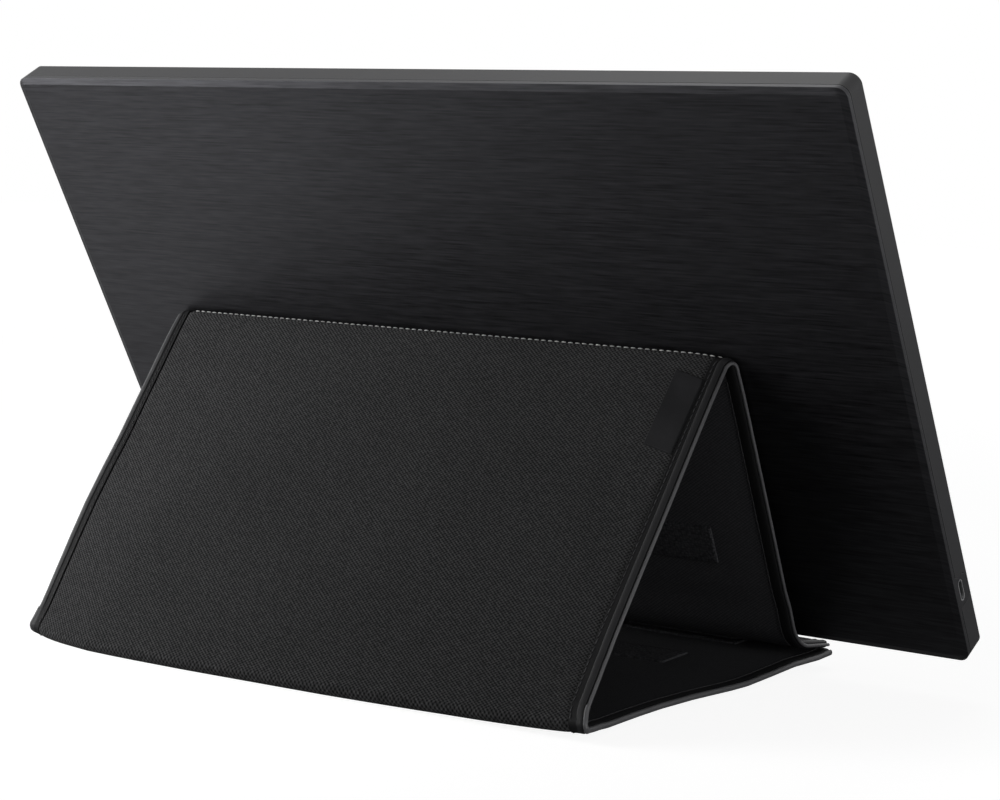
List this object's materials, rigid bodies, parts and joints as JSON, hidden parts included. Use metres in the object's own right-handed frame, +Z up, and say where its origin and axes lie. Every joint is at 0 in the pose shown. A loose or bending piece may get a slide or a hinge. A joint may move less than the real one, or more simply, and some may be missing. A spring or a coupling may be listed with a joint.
{
  "type": "portable monitor with folding cover",
  "caption": "thin portable monitor that leans back on its padded fabric cover, which is folded into a triangular stand with a ledge under the screen edge",
  "frame": {"origin": "on the table under the middle of the whole part, cover folded as a stand and monitor resting on it", "axes": "+X to the right as seen from in front of the screen, -Y towards that viewer, +Z up"},
  "size_m": [0.3832, 0.1807, 0.2239],
  "materials": {
    "back_cover": "black moulded plastic with fine horizontal brushed lines",
    "front_frame": "black moulded plastic with a fine spark texture",
    "lcd_cell": "dark glass with a matt polariser",
    "optical_films": "white translucent film",
    "light_guide": "clear acrylic",
    "reflector_sheet": "white film",
    "panel_chassis": "thin zinc-plated sheet steel",
    "led_strip": "white strip with lamps",
    "circuit_board": "green solder mask",
    "flat_cable": "amber polyimide film",
    "chips": "black moulded epoxy",
    "shield": "tin-plated sheet",
    "socket_metal": "stamped stainless steel",
    "socket_plastic": "black moulded nylon",
    "switches": "stamped steel over plastic",
    "light_pipe": "clear polycarbonate",
    "screws": "black zinc plated steel",
    "keys": "black moulded plastic",
    "cloth": "black and grey polyester twill",
    "stiff_board": "grey board",
    "lining": "black brushed lining",
    "binding": "black coated binding with a piped edge",
    "tab": "black coated tape",
    "hook_loop": "black hook and loop"
  },
  "bodies": {
    "rear_panel": {"rear_outer_cloth": "cloth", "rear_board": "stiff_board", "rear_lining": "lining", "rear_bindings": "binding", "ridge_fold_strip": "cloth", "inner_loop_patch": "hook_loop"},
    "front_panel": {"front_outer_cloth": "cloth", "front_board": "stiff_board", "front_lining": "lining", "front_bindings": "binding", "label_tab": "tab"},
    "base_panel": {"base_outer_cloth": "cloth", "base_board": "stiff_board", "base_lining": "lining", "base_bindings": "binding", "base_fold_strip": "cloth", "base_hook_strip": "hook_loop", "inner_hook_strip": "hook_loop"},
    "ledge": {"ledge_cloth": "cloth", "ledge_lining": "lining", "ledge_bindings": "binding", "ledge_loop_strip": "hook_loop"},
    "power_key_body": {"power_key": "keys"},
    "menu_key_body": {"menu_key": "keys"},
    "brightness_key_body": {"brightness_key": "keys"},
    "monitor": {"back_cover": "back_cover", "front_frame": "front_frame", "lcd_cell": "lcd_cell", "optical_films": "optical_films", "light_guide": "light_guide", "reflector_sheet": "reflector_sheet", "panel_chassis": "panel_chassis", "led_strip": "led_strip", "panel_driver_board": "circuit_board", "display_cable": "flat_cable", "main_board": "circuit_board", "board_chips": "chips", "shield_can": "shield", "port_shell": "socket_metal", "port_tongue": "socket_plastic", "key_board": "circuit_board", "key_switches": "switches", "key_cable": "flat_cable", "status_light_pipe": "light_pipe", "panel_screws": "screws", "board_screws": "screws"}
  },
  "joints": [
    {"name": "ridge_fold", "type": "hinge", "parent": "rear_panel", "child": "front_panel", "pos_m": [0, -0.00701, 0.12082], "axis": [1, 0, 0], "range_deg": [0, 108]},
    {"name": "base_fold", "type": "hinge", "parent": "front_panel", "child": "base_panel", "pos_m": [0, 0.08797, 0.0024], "axis": [1, 0, 0], "range_deg": [0, 128]},
    {"name": "ledge_fold", "type": "hinge", "parent": "rear_panel", "child": "ledge", "pos_m": [0, -0.06995, 0.01042], "axis": [1, 0, 0], "range_deg": [0, 20]},
    {"name": "monitor_lift", "type": "slide", "parent": "rear_panel", "child": "monitor", "axis": [0, 0, 1], "range_m": [0, 0.15]},
    {"name": "power_key_press", "type": "slide", "parent": "monitor", "child": "power_key_body", "axis": [0, 0.866, -0.5], "range_m": [0, 0.0005], "stiffness_N_per_m": 300, "springref_m": -0.001},
    {"name": "menu_key_press", "type": "slide", "parent": "monitor", "child": "menu_key_body", "axis": [0, 0.866, -0.5], "range_m": [0, 0.0005], "stiffness_N_per_m": 300, "springref_m": -0.001},
    {"name": "brightness_key_press", "type": "slide", "parent": "monitor", "child": "brightness_key_body", "axis": [0, 0.866, -0.5], "range_m": [0, 0.0005], "stiffness_N_per_m": 300, "springref_m": -0.001}
  ],
  "couplings": [
    {"joint": "base_fold", "follows": "ridge_fold", "ratio": 1.1852},
    {"joint": "ledge_fold", "follows": "ridge_fold", "ratio": 0.18518}
  ]
}
